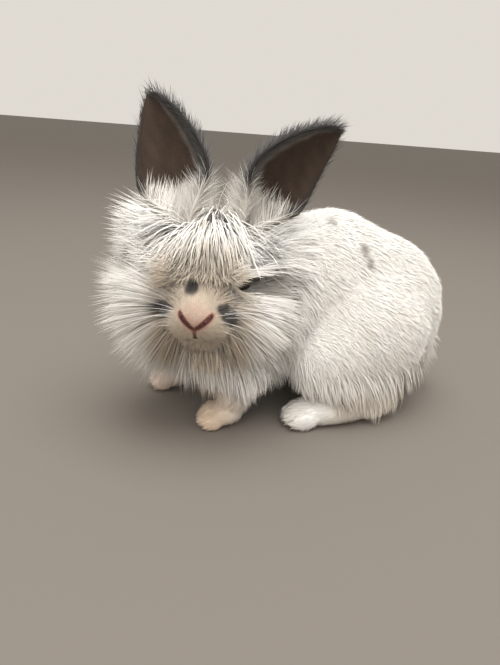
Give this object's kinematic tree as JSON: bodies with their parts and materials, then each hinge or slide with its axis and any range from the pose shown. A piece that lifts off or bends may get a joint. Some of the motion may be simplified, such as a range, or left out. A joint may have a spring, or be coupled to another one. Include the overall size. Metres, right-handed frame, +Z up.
{
  "type": "lionhead rabbit",
  "caption": "Life-size still lionhead rabbit sitting on the floor, head turned to its left, with a woolly mane round the face and upright dark ears.",
  "frame": {"origin": "on the floor, under the middle of the rabbit's box", "axes": "+Z up, -Y the way the trunk points, +X the rabbit's left, towards which its face is turned"},
  "size_m": [0.1346, 0.2416, 0.1877],
  "materials": {
    "short_white_coat": "matte short fur",
    "cream_leg_coat": "matte short fur",
    "long_mane_wool": "soft long wool",
    "dark_ear_coat": "matte short fur",
    "eye": "wet gloss"
  },
  "bodies": {
    "root": {"torso": "short_white_coat", "haunch_left": "short_white_coat", "haunch_right": "short_white_coat", "hind_foot_left": "short_white_coat", "hind_foot_right": "short_white_coat", "foreleg_left": "cream_leg_coat", "foreleg_right": "cream_leg_coat", "neck": "long_mane_wool", "chest": "long_mane_wool", "head": "long_mane_wool", "tail": "short_white_coat", "ear_left": "dark_ear_coat", "ear_right": "dark_ear_coat", "eye_left": "eye", "eye_right": "eye"}
  },
  "joints": []
}
